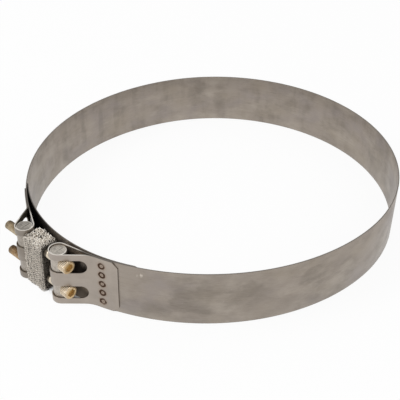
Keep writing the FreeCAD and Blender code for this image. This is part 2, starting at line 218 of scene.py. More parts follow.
class Bend:
    """A round stretch of strip; turn is positive where it goes anticlockwise."""

    facet_height = 0.012 * MM

    def __init__(self, centre, radius, begin, turn):
        self.centre, self.radius, self.begin, self.turn = centre, radius, begin, turn
        self.length = radius * abs(turn)

    def at(self, reach):
        angle = self.begin + self.turn * reach / self.length
        arm = Vector((math.cos(angle), math.sin(angle)))
        return self.centre + arm * self.radius, Vector((-arm.y, arm.x)) * math.copysign(1, self.turn)

    def trimmed(self, first, last):
        step = self.turn / self.length
        return Bend(self.centre, self.radius, self.begin + step * first, step * (last - first))

    def backwards(self):
        return Bend(self.centre, self.radius, self.begin + self.turn, -self.turn)

    def nearest(self, point):
        way = math.copysign(1, self.turn)
        swept = (bearing(point - self.centre) - self.begin) * way
        full = 2 * math.pi
        middle = abs(self.turn) / 2
        swept = (swept - middle + math.pi) % full - math.pi + middle
        reach = min(max(swept, 0), abs(self.turn)) * self.radius
        spot, heading = self.at(reach)
        return reach, cross(heading, point - spot)

    def lay(self):
        facet = 2 * math.acos(1 - self.facet_height / self.radius)
        steps = max(2, math.ceil(abs(self.turn) / facet))
        # Spin turns the other way from the right-hand rule
        bpy.ops.mesh.spin(steps=steps, angle=-self.turn, center=self.centre.to_3d(), axis=UP)


def bend_between(centre, radius, start, end, anticlockwise):
    begin = bearing(start - centre)
    full = 2 * math.pi
    turn = (bearing(end - centre) - begin) % full
    return Bend(centre, radius, begin, turn if anticlockwise else turn - full)


class Course:
    """A strip's midline in plan, stretch after stretch."""

    def __init__(self, stretches):
        self.stretches = stretches
        self.length = sum(stretch.length for stretch in stretches)

    def at(self, reach):
        for stretch in self.stretches[:-1]:
            if reach <= stretch.length:
                return stretch.at(reach)
            reach -= stretch.length
        return self.stretches[-1].at(reach)

    def between(self, first, last):
        kept, passed = [], 0
        for stretch in self.stretches:
            low, high = max(first - passed, 0), min(last - passed, stretch.length)
            if high - low > 1e-7:
                kept.append(stretch.trimmed(low, high))
            passed += stretch.length
        return Course(kept)

    def nearest(self, point):
        """How far along the midline a point lies, and how far to its left."""
        best, passed = None, 0
        for stretch in self.stretches:
            reach, aside = stretch.nearest(point)
            gap = (point - stretch.at(reach)[0]).length
            if best is None or gap < best[0]:
                best = (gap, passed + reach, aside)
            passed += stretch.length
        return best[1], best[2]


def middle(node):
    low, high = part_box(node)
    return (low + high) / 2


PIN = {"left": middle("trunnion_tapped").to_2d(), "right": middle("trunnion_plain").to_2d()}
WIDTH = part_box("band")[1].z
PIN_LOW, PIN_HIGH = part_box("trunnion_plain")
PIN_RADIUS = (PIN_HIGH.x - PIN_LOW.x) / 2
SCREW_Z = {"upper": middle("screw_upper").z, "lower": middle("screw_lower").z}
PIN_NODES = {"left": "trunnion_tapped", "right": "trunnion_plain"}


class Half:
    """One half of the strap, from the back arc to the end of its folded tab."""

    def __init__(self, side):
        sizes = bpy.context.scene.clamp_strap
        self.side = side
        self.way = 1 if side == "right" else -1
        self.pin = PIN[side]
        self.loop_radius = PIN_RADIUS + sizes.loop_clearance + sizes.thickness / 2
        self.back_radius = sizes.bore_radius + sizes.thickness / 2
        self.back_end = outward(self.way * (math.pi - sizes.back_half_angle) - sizes.ring_lean)
        self.leg_normal = outward(self.way * getattr(sizes, side + "_leg"))
        facing = self.leg_normal.dot(self.back_end)
        line_reach = self.leg_normal.dot(self.pin) - self.loop_radius
        self.flank_radius = (line_reach - self.back_radius * facing) / (1 - facing)
        self.flank_centre = self.back_end * (self.back_radius - self.flank_radius)
        self.leg_start = self.flank_centre + self.leg_normal * self.flank_radius
        self.leg_end = self.pin - self.leg_normal * self.loop_radius
        self.set_fold(sizes)

    def set_fold(self, sizes):
        slope = getattr(sizes, self.side + "_fold")
        bend_radius = getattr(sizes, self.side + "_bend")
        heading = Vector((self.way * math.cos(slope), math.sin(slope)))
        normal = Vector((self.way * math.sin(slope), -math.cos(slope)))
        tab_radius = self.flank_radius + sizes.thickness + sizes.fold_gap
        foot = self.pin + normal * (self.loop_radius + bend_radius)
        offset = foot - self.flank_centre
        half_b = offset.dot(heading)
        rest = offset.dot(offset) - (tab_radius + bend_radius) ** 2
        run = -half_b - math.sqrt(half_b ** 2 - rest)
        bend_centre = foot + heading * run
        loop_out = self.pin + normal * self.loop_radius
        bend_in = loop_out + heading * run
        to_bend = (bend_centre - self.flank_centre).normalized()
        bend_out = self.flank_centre + to_bend * tab_radius
        rightwards = self.way > 0
        loop = bend_between(self.pin, self.loop_radius, self.leg_end, loop_out, rightwards)
        bend = bend_between(bend_centre, bend_radius, bend_in, bend_out, not rightwards)
        nose = self.pin + Vector((-self.way, 0)) * self.loop_radius
        self.nose_reach = bend_between(self.pin, self.loop_radius, self.leg_end, nose, rightwards).length
        fold_end = self.nose_reach + getattr(sizes, self.side + "_fold_length")
        laid = fold_end - loop.length - run - bend.length
        tab = Bend(self.flank_centre, tab_radius, bearing(to_bend), self.way * laid / tab_radius)
        self.fold = Course([loop, Run(loop_out, bend_in), bend, tab])

    def outside(self, reach):
        """A point on the fold's midline, the way it heads and the way its outside faces."""
        spot, heading = self.fold.at(reach)
        return spot, heading, Vector((heading.y, -heading.x)) * self.way


def strap_course(left, right):
    """From the left tab's end, round the left loop and the back, to the right tab's end."""
    origin = Vector((0, 0))
    left_back = left.back_end * left.back_radius
    right_back = right.back_end * right.back_radius
    ring = [
        Run(left.leg_end, left.leg_start),
        bend_between(left.flank_centre, left.flank_radius, left.leg_start, left_back, False),
        bend_between(origin, left.back_radius, left_back, right_back, False),
        bend_between(right.flank_centre, right.flank_radius, right_back, right.leg_start, False),
        Run(right.leg_start, right.leg_end),
    ]
    start = [stretch.backwards() for stretch in reversed(left.fold.stretches)]
    return Course(start + ring + right.fold.stretches)


def tongue_course(left, right, overlap):
    """It lies along the strap at the right, then springs across to the left leg."""
    strap, sizes = bpy.context.scene.clamp_strap, bpy.context.scene.clamp_tongue
    inset = (strap.thickness + sizes.thickness) / 2 + sizes.gap
    right_line = right.flank_radius - inset
    normal = outward(sizes.leave_angle)
    leave = right.flank_centre + normal * right_line
    touch = left.flank_centre + outward(-sizes.touch_angle) * (left.flank_radius - inset)
    chord = touch - leave
    radius = -chord.dot(chord) / (2 * chord.dot(normal))
    lap = overlap / right_line
    lapped = Bend(right.flank_centre, right_line, bearing(normal) + lap, -lap)
    return Course([lapped, bend_between(leave - normal * radius, radius, leave, touch, False)])


# Modelling steps

def start_clean():
    if bpy.context.object and bpy.context.object.mode != "OBJECT":
        bpy.ops.object.mode_set(mode="OBJECT")
    bpy.ops.object.select_all(action="DESELECT")


def only(piece):
    start_clean()
    piece.select_set(True)
    bpy.context.view_layer.objects.active = piece


def named(name):
    piece = bpy.context.object
    piece.name = piece.data.name = name
    return piece


def chain(name, points):
    """A new mesh of edges through the points, left in edit mode with all of it selected."""
    start_clean()
    bpy.ops.mesh.primitive_plane_add(size=MM, location=points[0])
    piece = named(name)
    bpy.ops.object.transform_apply()
    bpy.ops.object.mode_set(mode="EDIT")
    bpy.ops.mesh.select_mode(type="VERT")
    bpy.ops.mesh.merge(type="CENTER")
    for here, there in zip(points, points[1:]):
        bpy.ops.mesh.extrude_region_move(TRANSFORM_OT_translate={"value": there - here})
    bpy.ops.mesh.select_all(action="SELECT")
    return piece


def pick(piece, test, kind="VERT"):
    """Enters edit mode with only those vertices, edges or faces selected that pass a test."""
    only(piece)
    bpy.ops.object.mode_set(mode="EDIT")
    bpy.ops.mesh.select_mode(type=kind)
    bpy.ops.mesh.select_all(action="DESELECT")
    bpy.ops.object.mode_set(mode="OBJECT")
    items = {"VERT": piece.data.vertices, "EDGE": piece.data.edges, "FACE": piece.data.polygons}[kind]
    for item in items:
        item.select = test(item)
    bpy.ops.object.mode_set(mode="EDIT")


def modify(piece, kind, **settings):
    """Adds a modifier with its settings and applies it."""
    only(piece)
    step = piece.modifiers.new(kind.title(), kind)
    for key, value in settings.items():
        setattr(step, key, value)
    bpy.ops.object.modifier_apply(modifier=step.name)
    return piece


def strip(name, course, low, high, thickness, corner=0):
    """A strip of sheet that stands on edge along a course."""
    start = course.at(0)[0]
    piece = chain(name, [start.to_3d() + UP * low, start.to_3d() + UP * high])
    for stretch in course.stretches:
        stretch.lay()
    bpy.ops.object.mode_set(mode="OBJECT")
    if corner:
        round_corners(piece, course, corner)
    return modify(piece, "SOLIDIFY", thickness=thickness, offset=0, use_even_offset=True)


def stepped_ends(course, corner):
    """The same course, laid in short steps near its ends so that corners can be rounded."""
    steps = [corner * (1 - math.cos(math.pi / 16 * index)) for index in range(9)]
    marks = steps + [course.length - step for step in reversed(steps)]
    kept = []
    for first, last in zip(marks, marks[1:]):
        kept += course.between(first, last).stretches
    return Course(kept)


def round_corners(piece, course, corner):
    """Pulls a sheet's long edges in towards both of its ends."""
    for vertex in piece.data.vertices:
        reach = course.nearest(vertex.co.to_2d())[0]
        short = corner - min(reach, course.length - reach, corner)
        pull = corner - math.sqrt(max(corner ** 2 - short ** 2, 0))
        vertex.co.z += pull if vertex.co.z < WIDTH / 2 else -pull


def combine(piece, operation, other):
    """Cuts, joins or crops a piece with another, which is used up, and leaves no sliver behind."""
    modify(piece, "BOOLEAN", operation=operation, solver="EXACT", object=other)
    bpy.data.objects.remove(other)
    close_up(piece, SLIVER)


def carve(piece, cutters):
    for cutter in cutters:
        combine(piece, "DIFFERENCE", cutter)


def facing(direction):
    """The turn that lays a primitive's Z along a direction."""
    return direction.to_track_quat("Z", "Y").to_euler()


def rod(name, start, direction, radius, depth, vertices=64):
    """A cylinder from its start point along a direction."""
    start_clean()
    bpy.ops.mesh.primitive_cylinder_add(
        vertices=vertices,
        radius=radius,
        depth=depth,
        location=start + direction.normalized() * (depth / 2),
        rotation=facing(direction),
    )
    piece = named(name)
    bpy.ops.object.transform_apply()
    return piece


def close_up(piece, gap=0.002 * MM):
    """Merges doubles and turns every face outwards."""
    only(piece)
    bpy.ops.object.mode_set(mode="EDIT")
    bpy.ops.mesh.select_all(action="SELECT")
    if gap == SLIVER:
        bpy.ops.mesh.dissolve_degenerate(threshold=gap)
    bpy.ops.mesh.remove_doubles(threshold=gap)
    bpy.ops.mesh.normals_make_consistent(inside=False)
    bpy.ops.object.mode_set(mode="OBJECT")


def smooth(piece, degrees=35):
    only(piece)
    bpy.ops.object.shade_smooth_by_angle(angle=math.radians(degrees))


def soften(piece, width, degrees=40, segments=2):
    return modify(
        piece,
        "BEVEL",
        width=width,
        segments=segments,
        limit_method="ANGLE",
        angle_limit=math.radians(degrees),
        use_clamp_overlap=True,
    )


def map_along(piece, course):
    """A UV map in metres: U along the strip and V up its width; outside is 1 on its left face."""
    mesh = piece.data
    uv = mesh.uv_layers.new(name="along")
    face_side = mesh.attributes.new("outside", "FLOAT", "POINT")
    places = [course.nearest(vertex.co.to_2d()) for vertex in mesh.vertices]
    for loop in mesh.loops:
        uv.data[loop.index].uv = (places[loop.vertex_index][0], mesh.vertices[loop.vertex_index].co.z)
    face_side.data.foreach_set("value", [1.0 if aside > 0 else 0.0 for _, aside in places])


def finished(piece, finish, body, slot, *nodes):
    """Gives a piece its finish and its body, and hides the CAD nodes that it stands for."""
    piece.data.materials.clear()
    piece.data.materials.append(finish)
    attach(piece, body)
    if nodes:
        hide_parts(*nodes)
    return piece


# Shader building

class Signal:
    """A shader socket that arithmetic can be written on."""

    def __init__(self, finish, socket):
        self.finish, self.socket = finish, socket

    def maths(self, operation, *values):
        return self.finish.add("ShaderNodeMath", {"operation": operation}, dict(enumerate(values)))

    def __add__(self, other):
        return self.maths("ADD", self, other)

    def __sub__(self, other):
        return self.maths("SUBTRACT", self, other)

    def __rsub__(self, other):
        return self.maths("SUBTRACT", other, self)

    def __mul__(self, other):
        return self.maths("MULTIPLY", self, other)

    def __truediv__(self, other):
        return self.maths("DIVIDE", self, other)

    def __pow__(self, other):
        return self.maths("POWER", self, other)

    def __mod__(self, other):
        return self.maths("FLOORED_MODULO", self, other)

    def above(self, level, width):
        """0 under the level, rising to 1 over the width."""
        ramp = {"interpolation_type": "SMOOTHSTEP"}
        values = {"Value": self, "From Min": level, "From Max": level + width}
        return self.finish.add("ShaderNodeMapRange", ramp, values)

    def between(self, start, end, rise, fall):
        """1 from start to end, with soft limits."""
        return self.above(start, rise) * (1 - self.above(end, fall))

    __radd__ = __add__
    __rmul__ = __mul__


class Finish:
    """A procedural metal: a Principled shader and the nodes that feed it."""

    def __init__(self, name, **constants):
        self.material = bpy.data.materials.new(name)
        self.material.use_nodes = True
        self.tree = self.material.node_tree
        self.tree.nodes.clear()
        self.output = self.tree.nodes.new("ShaderNodeOutputMaterial")
        self.shader = self.tree.nodes.new("ShaderNodeBsdfPrincipled")
        self.tree.links.new(self.shader.outputs[0], self.output.inputs["Surface"])
        for socket, value in constants.items():
            self.shader.inputs[socket.replace("_", " ").title()].default_value = value

    def put(self, socket, value):
        if isinstance(value, Signal):
            self.tree.links.new(value.socket, socket)
        elif hasattr(value, "__len__") and len(value) == 3 and socket.type == "RGBA":
            socket.default_value = (*value, 1.0)
        else:
            socket.default_value = value

    def add(self, kind, settings=None, values=None, output=0):
        """A node of any kind: its settings first, then its sockets' values or links."""
        node = self.tree.nodes.new(kind)
        for key, value in (settings or {}).items():
            setattr(node, key, value)
        for key, value in (values or {}).items():
            self.put(node.inputs[key], value)
        return Signal(self, node.outputs[output])

    def feed(self, socket, value):
        self.put(self.shader.inputs[socket], value)

    def spot(self, centre=(0, 0, 0)):
        """Object coordinates in metres, from a centre."""
        place = self.add("ShaderNodeTexCoord", output="Object")
        return self.mapped(place, (1, 1, 1), tuple(-part for part in centre))

    def mapped(self, place, stretch, shift):
        return self.add("ShaderNodeMapping", {}, {"Vector": place, "Scale": stretch, "Location": shift})

    def noise(self, place, scale, detail=3.0, rough=0.55, stretch=None, shift=(0, 0, 0)):
        """Noise of a given fineness, drawn out where a stretch is given."""
        if stretch:
            place = self.mapped(place, stretch, shift)
        values = {"Vector": place, "Scale": scale, "Detail": detail, "Roughness": rough}
        return self.add("ShaderNodeTexNoise", {}, values)

    def split(self, place):
        """The three numbers of a vector."""
        parts = self.tree.nodes.new("ShaderNodeSeparateXYZ")
        self.put(parts.inputs[0], place)
        return [Signal(self, part) for part in parts.outputs]

    def mix(self, factor, first, second):
        """Blends two colours, through the sockets that a Mix node keeps for them."""
        return self.add("ShaderNodeMix", {"data_type": "RGBA"}, {0: factor, 6: first, 7: second}, 2)

    def paint(self, tone, *coats):
        """Lays coats over a tone, each of them a mask and a colour."""
        for mask, coat in coats:
            tone = self.mix(mask, tone, coat)
        return tone

    def bump(self, height, distance, strength=1.0):
        values = {"Height": height, "Distance": distance, "Strength": strength}
        self.feed("Normal", self.add("ShaderNodeBump", {}, values, "Normal"))


class Tone:
    """Fixed colours that the finishes mix in"""

    drawn_line = (0.150, 0.125, 0.102)
    bright_grain = (0.46, 0.42, 0.37)
    pale_speck = (0.62, 0.58, 0.52)
    fold_sheen = (0.440, 0.385, 0.335)
    # Painted shade for the strap's outside under the folds: lower part, higher part, top edge and outer leg
    fold_shade_low = (0.360, 0.290, 0.225)
    fold_shade_high = (0.045, 0.037, 0.029)
    fold_shade_rim = (0.200, 0.168, 0.138)
    fold_shade_leg = (0.230, 0.205, 0.150)
    weld_tint = (0.290, 0.200, 0.140)
    # Painted shade for the tongue's outside
    painted_shade = (0.010, 0.009, 0.007)
    pale_fleck = (0.60, 0.54, 0.47)
    sheared_edge = (0.150, 0.138, 0.126)
    loop_shade = (0.190, 0.168, 0.142)
    # Painted highlight for the loops' edges
    loop_edge_highlight = (0.90, 0.85, 0.78)
    turned_line = (0.50, 0.48, 0.44)
    saw_streak = (0.90, 0.83, 0.73)
    # Painted highlight for the trunnions' rims
    pin_rim_highlight = (0.95, 0.90, 0.83)
    # Painted shade for the knurl grooves
    knurl_groove_shade = (0.320, 0.205, 0.110)
    knurl_ridge = (0.960, 0.900, 0.780)
    tip_grime = (0.110, 0.085, 0.060)
    bare_shank = (0.720, 0.660, 0.560)
    # Painted shade for the shank between the trunnions
    shank_gap_shade = (0.060, 0.047, 0.033)
    socket_gold = (0.680, 0.500, 0.230)
    dull_wire = (0.27, 0.225, 0.18)
    # Painted light for the top of the block
    wire_top_light = (0.97, 0.92, 0.84)
    # Painted shade for the block's side towards the heads
    wire_side_shade = (0.060, 0.048, 0.036)
    tails = {"upper": (0.400, 0.335, 0.240), "lower": (0.300, 0.175, 0.080)}


def shaded(tone, factor):
    return tuple(part * factor for part in tone)


def strip_place(finish):
    """Along, across and side of a strip, as one vector and as single numbers."""
    along, across, _ = finish.split(finish.add("ShaderNodeUVMap", {"uv_map": "along"}))
    side = finish.add("ShaderNodeAttribute", {"attribute_name": "outside"}, output="Fac")
    place = finish.add("ShaderNodeCombineXYZ", {}, {"X": along, "Y": across, "Z": side * 0.37})
    return place, along, across, side


def add_up(signals):
    return sum(signals[1:], signals[0])


def weld_scorch(finish, place, along, across, reaches):
    """Rings of scorched steel round the welds, and the paler tint about them."""
    strays = finish.noise(place, 420.0, 2.0)
    patchy = finish.noise(place, 190.0, 2.0).above(0.36, 0.16)
    pitch = bpy.context.scene.clamp_strap.weld_pitch
    lowest = WIDTH / 2 - 2.5 * pitch
    height = (across - lowest) % pitch - pitch / 2
    scorches, tints = [], []
    for reach in reaches:
        gap = ((along - reach) ** 2 + height ** 2) ** 0.5 + (strays - 0.5) * (1.1 * MM)
        ring = gap.between(1.3 * MM, 2.75 * MM, 0.6 * MM, 0.8 * MM)
        speck = 1 - gap.above(0.3 * MM, 0.5 * MM)
        scorches.append(ring * (0.55 + patchy * 0.9) + speck * 0.45)
        tints.append(1 - gap.above(2.2 * MM, 3.4 * MM))
    inside = across.between(lowest, lowest + 5 * pitch, 0.3 * MM, 0.3 * MM)
    return add_up(scorches) * inside, add_up(tints) * inside


def smudge(along, across, strays, mark):
    """A soft patch: its place along and across, its reach each way, and its strength."""
    reach, height, half_length, half_width, strength = mark
    far = ((along - reach * MM) / (half_length * MM)) ** 2
    far = far + ((across - height * MM) / (half_width * MM)) ** 2
    return (1 - (far + (strays - 0.5) * 2.6)).above(0.0, 0.8) * strength


def face_of(side, mark):
    """Patches past the middle of the ring lie on the outside, the others inside."""
    return side if mark[0] > OUTSIDE_FROM else 1 - side


OUTSIDE_FROM = 780

# Each patch: millimetres along and up, its half length and half width, its strength
STRAP_MARKS = [
    (972, 24, 34, 18, 0.95),
    (940, 34, 16, 10, 0.60),
    (955, 26, 60, 26, 0.30),
    (880, 30, 17, 13, 0.70),
    (866, 24, 34, 24, 0.40),
    (842, 22, 16, 16, 0.45),
    (1008, 12, 16, 10, 0.40),
    (590, 20, 26, 17, 0.45),
    (450, 26, 9, 22, 0.55),
    (430, 34, 7, 12, 0.45),
    (330, 26, 5, 22, 0.60),
    (309, 22, 4, 24, 0.65),
    (284, 22, 5, 18, 0.50),
    (252, 20, 6, 20, 0.55),
    (655, 28, 20, 24, 0.65),
    (690, 20, 26, 24, 0.75),
    (735, 36, 20, 16, 0.50),
]

STRAP_FLECKS = [
    (1021, 43.8, 1.3, 2.2, 0.8),
    (1024.5, 43, 1.2, 1.5, 0.25),
    (1073.5, 37, 2.2, 4.0, 0.20),
]


def strip_steel(name, ends=None, marks=(), painted_shade=0.0):
    """Stained, long-grained stainless strip, with painted shade under the folds and on the tongue's outside
    and a painted highlight along the loops' edges.
    """
    colours, sizes = bpy.context.scene.clamp_colours, bpy.context.scene.clamp_strap
    finish = Finish(name, metallic=0.86)
    place, along, across, side = strip_place(finish)
    grain = finish.noise(place, 2600.0, 4.0, 0.7, (0.045, 1.0, 1.0))
    clouds = finish.noise(place, 75.0, 5.0, 0.6, (0.7, 1.0, 1.0))
    patches = finish.noise(place, 30.0, 3.0, 0.5, (0.6, 0.9, 1.0), (3.1, 1.7, 0.0))
    smears = finish.noise(place, 105.0, 3.0, 0.55, (1.0, 0.2, 1.0), (7.7, 0.0, 0.0))
    lines = finish.noise(place, 700.0, 4.0, 0.7, (0.03, 1.0, 1.0), (0.0, 4.4, 0.0))
    drift = finish.noise(place, 40.0, 2.0, 0.5, (0.7, 1.0, 1.0), (5.5, 2.2, 0.0))
    pale = finish.noise(place, 55.0, 5.0, 0.6, (0.6, 1.0, 1.0), (0.0, 9.3, 0.0))
    specks = finish.noise(place, 900.0, 2.0, 0.5)
    dark = clouds.above(0.36, 0.36) * 0.50 + patches.above(0.40, 0.30) * 0.40
    dark = dark + smears.above(0.42, 0.30) * (1 - side) * 0.42
    if marks:
        dark = dark + add_up([smudge(along, across, clouds, mark) * face_of(side, mark) for mark in marks])
    tone = finish.paint(
        colours.strap,
        (dark.above(0.0, 1.1), colours.stain),
        (pale.above(0.42, 0.34) * 0.80, colours.bloom),
        (drift.above(0.50, 0.25) * 0.5, colours.khaki),
        ((1 - drift.above(0.28, 0.22)) * 0.5, colours.mauve),
        (lines.above(0.52, 0.2) * 0.22, Tone.drawn_line),
        ((grain - 0.5) * 0.9 + 0.14, Tone.bright_grain),
        (specks.above(0.73, 0.05) * 0.5, Tone.pale_speck),
    )
    rough = 0.40 + (clouds - 0.5) * 0.25 + (grain - 0.5) * 0.18
    sheared = across.above(WIDTH - 0.14 * MM, 0.06 * MM) + (1 - across.above(0.08 * MM, 0.06 * MM))
    if ends:
        left_fold, right_fold, hidden, whole = ends
        right_start = whole - right_fold
        folds = (1 - along.above(left_fold, 4 * MM)) * 0.1 + along.above(right_start, 4 * MM)
        near_left = 1 - along.above(hidden[0] - 5 * MM, 4 * MM)
        near_right = along.above(whole - hidden[1] + 1 * MM, 4 * MM)
        # Painted shade where the folds hide the strap's outside: darker higher up, lighter along the top edge
        # at the right and on the left outer leg
        fold_shade = finish.paint(
            finish.mix(across.above(17 * MM, 9 * MM), Tone.fold_shade_low, Tone.fold_shade_high),
            (across.above(44 * MM, 3 * MM) * near_right, Tone.fold_shade_rim),
            (along.between(28 * MM, 72 * MM, 6 * MM, 6 * MM) * 0.8, Tone.fold_shade_leg),
        )
        welds = (sizes.weld_inset, whole - sizes.weld_inset)
        scorch, tint = weld_scorch(finish, place, along, across, welds)
        flecks = add_up([smudge(along, across, specks, mark) for mark in STRAP_FLECKS])
        left_loop = along.between(left_fold - 40 * MM, left_fold + 12 * MM, 6 * MM, 8 * MM)
        right_loop = along.between(right_start - 20 * MM, right_start + 46 * MM, 8 * MM, 10 * MM)
        tone = finish.paint(
            tone,
            (folds * (1 - side) * 0.55, Tone.fold_sheen),
            # Painted shade on the outside faces hidden under the folds
            ((near_left + near_right) * side * 0.86, fold_shade),
            (tint * (1 - side) * 0.5, Tone.weld_tint),
            ((scorch * (1 - side)).above(0.0, 1.0), colours.scorch),
            (flecks * side, Tone.pale_fleck),
            (sheared * 0.55, Tone.sheared_edge),
            (left_loop * (1 - side) * (1 - sheared) * 0.40, Tone.loop_shade),
            # Painted highlight along the top and bottom edges of both loops
            (sheared * (left_loop * 0.85 + right_loop * 0.85), Tone.loop_edge_highlight),
        )
        rough = rough + scorch * (1 - side) * 0.2
    else:
        # Painted shade on the tongue's outside, deepening towards its left end
        shade = side * painted_shade * along.above(45 * MM, 75 * MM)
        tone = finish.paint(tone, (shade, Tone.painted_shade), (sheared * 0.55, Tone.sheared_edge))
    finish.feed("Base Color", tone)
    finish.feed("Roughness", rough)
    finish.bump(grain * 0.6 + clouds * 0.4, 0.03 * MM, 0.55)
    return finish.material


def round_place(finish, axis_spot, keep):
    """Object coordinates about an axis, and the distance from that axis."""
    place = finish.spot(axis_spot)
    flat = finish.add("ShaderNodeVectorMath", {"operation": "MULTIPLY"}, {0: place, 1: keep})
    return place, finish.add("ShaderNodeVectorMath", {"operation": "LENGTH"}, {0: flat}, "Value")


def turned_steel(name, pin, shade):
    """Turned steel: rings on the sawn ends, drawn lines down the sides and a painted highlight on the rim;
    shade makes lighter or darker copies of it for painted light and shade.
    """
    colours, sizes = bpy.context.scene.clamp_colours, bpy.context.scene.clamp_fastener
    finish = Finish(name, metallic=0.9)
    place, radius = round_place(finish, (pin.x, pin.y, 0), (1, 1, 0))
    rings = finish.noise(finish.add("ShaderNodeCombineXYZ", {}, {"X": radius}), 5200.0, 3.0)
    drawn = finish.noise(place, 1500.0, 3.0, stretch=(1.0, 1.0, 0.04))
    streaks = finish.noise(place, 1300.0, 3.0, stretch=(1.0, 0.10, 1.0))
    blotch = finish.noise(place, 420.0, 4.0, 0.6)
    sides = radius.above(PIN_RADIUS - sizes.pin_chamfer / 2, 0.1 * MM)
    outer = PIN_RADIUS - sizes.pin_play
    # Painted highlight on the chamfered rim round each end face
    rim = radius.between(outer - 1.5 * sizes.pin_chamfer, outer - 0.1 * MM, 0.2 * MM, 0.05 * MM)
    # shade makes lighter and darker copies of this steel: painted light and shade
    base = shaded(colours.trunnion, shade)
    turning = (rings - 0.5) * 0.6 * (1 - sides) + (drawn - 0.5) * 0.5 * sides + 0.15
    tone = finish.paint(
        base,
        (blotch.above(0.42, 0.22) * 0.8, shaded(base, 0.52)),
        (turning, Tone.turned_line),
        ((streaks.above(0.46, 0.16) - 0.4) * (1 - sides) * 0.7, Tone.saw_streak),
        (sides * 0.75, shaded(colours.strap, 1.38)),
        (rim * 0.9, Tone.pin_rim_highlight),
    )
    finish.feed("Base Color", tone)
    finish.feed("Roughness", 0.36 + (blotch - 0.5) * 0.3)
    finish.bump(rings * (1 - sides) + drawn * sides, 0.02 * MM, 0.5)
    return finish.material


def zinc_plate(name, axis_spot, tail, seat, tail_tone):
    """Yellow zinc plate, worn pale on the ridges and browner on the end faces, with painted shade in the
    knurl grooves and on the shank between the trunnions.
    """
    colours, sizes = bpy.context.scene.clamp_colours, bpy.context.scene.clamp_fastener
    west, east = PIN["left"].x, PIN["right"].x
    finish = Finish(name, metallic=0.82)
    place, radius = round_place(finish, (0, axis_spot.y, axis_spot.z), (0, 1, 1))
    along = finish.split(place)[0]
    blotch = finish.noise(place, 330.0, 4.0, 0.6)
    wear = finish.noise(place, 700.0, 3.0, 0.6)
    on_head = along.above(seat, 0.1 * MM)
    ridge = on_head * radius.above(sizes.head_radius - sizes.knurl_depth, sizes.knurl_depth)
    crest = (1 - on_head) * radius.above(sizes.shank_radius - 0.25 * MM, 0.2 * MM)
    face = along.above(seat + sizes.head_height - 0.25 * MM, 0.1 * MM) + (1 - along.above(tail, 0.3 * MM))
    near_rim = radius.above(sizes.head_radius - 1.3 * sizes.knurl_depth, 0.1 * MM)
    groove = on_head * (1 - ridge.above(0.0, 0.55)) * near_rim
    tail_end = 1 - along.above(west - 7 * MM, 2 * MM)
    between = along.above(west + 7 * MM, 2 * MM) * (1 - on_head)
    socket = on_head * (1 - radius.above(0.6 * sizes.socket_flats, 0.2 * MM))
    tone = finish.paint(
        colours.zinc,
        (blotch.above(0.36, 0.40) * 0.6, colours.zinc_brown),
        (wear.above(0.30, 0.45) * (0.45 + (ridge + crest) * 0.55), colours.zinc_worn),
        # Painted shade in the grooves between the knurl ridges
        (groove * (1 - wear.above(0.50, 0.1) * 0.5), Tone.knurl_groove_shade),
        (ridge.above(0.40, 0.35) * 0.65, Tone.knurl_ridge),
        (tail_end * (0.45 + blotch * 0.4), tail_tone),
        (tail_end * (1 - along.above(tail + 3 * MM, 3 * MM)) * 0.5, Tone.tip_grime),
        (between * 0.6, Tone.bare_shank),
        # Painted shade on the shank between the trunnions, through the block and the gap beside it
        (between * (1 - along.above(east - 12.4 * MM, 1.0 * MM)) * 0.9, Tone.shank_gap_shade),
        (face * (0.05 + blotch * 0.35), colours.zinc_brown),
        (socket * 0.7, Tone.socket_gold),
    )
    finish.feed("Base Color", tone)
    finish.feed("Roughness", 0.34 + (wear - 0.5) * 0.3)
    finish.bump(wear, 0.03 * MM, 0.4)
    return finish.material


def knitted_wire(name, shade=1.0, lit=0.35):
    """Drawn stainless wire, dulled in places, with painted shade on the side towards the heads and painted
    light on top; shade scales the whole colour for painted shade on deep wires and painted light on loose
    ends.
    """
    finish = Finish(name, metallic=0.6)
    place = finish.spot()
    eastward, backward, upward = finish.split(place)
    patches = finish.noise(place, 430.0, 3.0, 0.6)
    low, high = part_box("mesh_block")
    strays = (patches - 0.5) * (1.2 * MM)
    # Painted shade on the block's side towards the heads, below its top
    head_side_shade = (eastward + strays).above(high.x - 1.6 * MM, 0.7 * MM)
    head_side_shade = head_side_shade * (backward + strays).above(low.y + 1.8 * MM, 1.0 * MM)
    head_side_shade = head_side_shade * (1 - upward.above(high.z - 3.5 * MM, 2.0 * MM))
    tone = finish.paint(
        shaded(bpy.context.scene.clamp_colours.wire, shade),
        (patches.above(0.50, 0.16) * 0.5, shaded(Tone.dull_wire, shade)),
        # Painted light on the block's top, as strong as lit
        (upward.above(high.z - 5.0 * MM, 3.0 * MM) * lit, Tone.wire_top_light),
        (head_side_shade * 0.85, Tone.wire_side_shade),
    )
    finish.feed("Base Color", tone)
    finish.feed("Roughness", 0.40 + (patches - 0.5) * 0.3)
    return finish.material


